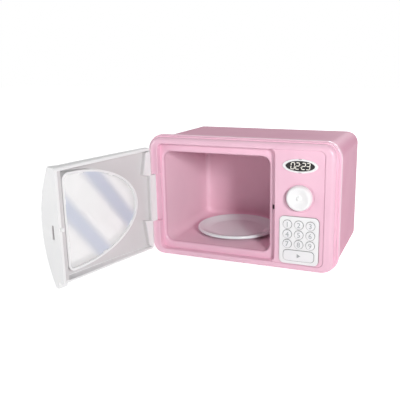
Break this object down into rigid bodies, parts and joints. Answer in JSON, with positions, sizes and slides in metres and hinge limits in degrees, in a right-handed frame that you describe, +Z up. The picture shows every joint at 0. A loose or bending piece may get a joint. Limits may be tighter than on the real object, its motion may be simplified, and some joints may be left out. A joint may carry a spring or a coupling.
{
  "type": "toy microwave",
  "caption": "Pretend microwave oven with a bowed door on a side hinge, a turning plate, a knob, a small oval display and a keypad that presses in.",
  "frame": {"origin": "on the flat underside of the casing, at its middle from side to side and halfway from the crest of the front rim to the back wall", "axes": "+Z up; +Y from the front to the back, so the door and the controls face -Y; +X towards the control panel, away from the door's hinge"},
  "size_m": [0.3578, 0.366, 0.1872],
  "materials": {
    "pink_plastic": "pale pink moulded plastic, half gloss",
    "white_plastic": "white moulded plastic, half gloss",
    "button_plastic": "white moulded plastic with raised numbers",
    "clear_plastic": "clear polished plastic",
    "dark_lens": "dark smoked plastic",
    "display_digits": "black block with pale digits",
    "circuit_board": "green board",
    "screw_steel": "zinc plated",
    "pin_steel": "plain drawn steel",
    "black_plastic": "black moulded plastic",
    "speaker_metal": "dark basket and magnet",
    "motor_metal": "plain metal case",
    "box_plastic": "white moulded plastic",
    "cell_metal": "printed metal jacket, plain",
    "contact_metal": "nickel plated spring steel"
  },
  "bodies": {
    "casing": {"front_frame": "pink_plastic", "rear_housing": "pink_plastic", "cavity_liner": "pink_plastic", "battery_cover": "pink_plastic", "keypad_plate": "white_plastic", "display_bezel": "white_plastic", "display_lens": "dark_lens", "display_module": "display_digits", "display_board": "circuit_board", "control_board": "circuit_board", "board_screws": "screw_steel", "liner_screws": "screw_steel", "housing_screws": "screw_steel", "motor_screws": "screw_steel", "battery_cover_screw": "screw_steel", "hinge_pins": "pin_steel", "rotary_switch": "black_plastic", "button_switches": "black_plastic", "speaker": "speaker_metal", "turntable_motor": "motor_metal", "battery_box": "box_plastic", "batteries": "cell_metal", "battery_contacts": "contact_metal"},
    "door": {"door_shell": "white_plastic", "door_window": "clear_plastic", "door_latch": "white_plastic"},
    "knob": {"control_knob": "white_plastic", "knob_shaft": "pin_steel"},
    "turntable": {"turntable_plate": "white_plastic", "turntable_hub": "white_plastic"},
    "number_button_1": {"number_button_1": "button_plastic"},
    "number_button_2": {"number_button_2": "button_plastic"},
    "number_button_3": {"number_button_3": "button_plastic"},
    "number_button_4": {"number_button_4": "button_plastic"},
    "number_button_5": {"number_button_5": "button_plastic"},
    "number_button_6": {"number_button_6": "button_plastic"},
    "number_button_7": {"number_button_7": "button_plastic"},
    "number_button_8": {"number_button_8": "button_plastic"},
    "number_button_9": {"number_button_9": "button_plastic"},
    "start_button": {"start_button": "button_plastic"}
  },
  "joints": [
    {"name": "door_hinge", "type": "hinge", "parent": "casing", "child": "door", "pos_m": [-0.1343, -0.0899, 0.0923], "axis": [0, 0, 1], "range_deg": [-15, 105]},
    {"name": "knob_turn", "type": "hinge", "parent": "casing", "child": "knob", "pos_m": [0.0912, -0.0905, 0.10931], "axis": [0, 1, 0], "continuous": true},
    {"name": "turntable_spin", "type": "hinge", "parent": "casing", "child": "turntable", "pos_m": [-0.035, 0.004, 0.0231], "axis": [0, 0, 1], "continuous": true},
    {"name": "number_button_1_press", "type": "slide", "parent": "casing", "child": "number_button_1", "axis": [0, 1, 0], "range_m": [0, 0.0012], "stiffness_N_per_m": 400},
    {"name": "number_button_2_press", "type": "slide", "parent": "casing", "child": "number_button_2", "axis": [0, 1, 0], "range_m": [0, 0.0012], "stiffness_N_per_m": 400},
    {"name": "number_button_3_press", "type": "slide", "parent": "casing", "child": "number_button_3", "axis": [0, 1, 0], "range_m": [0, 0.0012], "stiffness_N_per_m": 400},
    {"name": "number_button_4_press", "type": "slide", "parent": "casing", "child": "number_button_4", "axis": [0, 1, 0], "range_m": [0, 0.0012], "stiffness_N_per_m": 400},
    {"name": "number_button_5_press", "type": "slide", "parent": "casing", "child": "number_button_5", "axis": [0, 1, 0], "range_m": [0, 0.0012], "stiffness_N_per_m": 400},
    {"name": "number_button_6_press", "type": "slide", "parent": "casing", "child": "number_button_6", "axis": [0, 1, 0], "range_m": [0, 0.0012], "stiffness_N_per_m": 400},
    {"name": "number_button_7_press", "type": "slide", "parent": "casing", "child": "number_button_7", "axis": [0, 1, 0], "range_m": [0, 0.0012], "stiffness_N_per_m": 400},
    {"name": "number_button_8_press", "type": "slide", "parent": "casing", "child": "number_button_8", "axis": [0, 1, 0], "range_m": [0, 0.0012], "stiffness_N_per_m": 400},
    {"name": "number_button_9_press", "type": "slide", "parent": "casing", "child": "number_button_9", "axis": [0, 1, 0], "range_m": [0, 0.0012], "stiffness_N_per_m": 400},
    {"name": "start_button_press", "type": "slide", "parent": "casing", "child": "start_button", "axis": [0, 1, 0], "range_m": [0, 0.0012], "stiffness_N_per_m": 400}
  ]
}
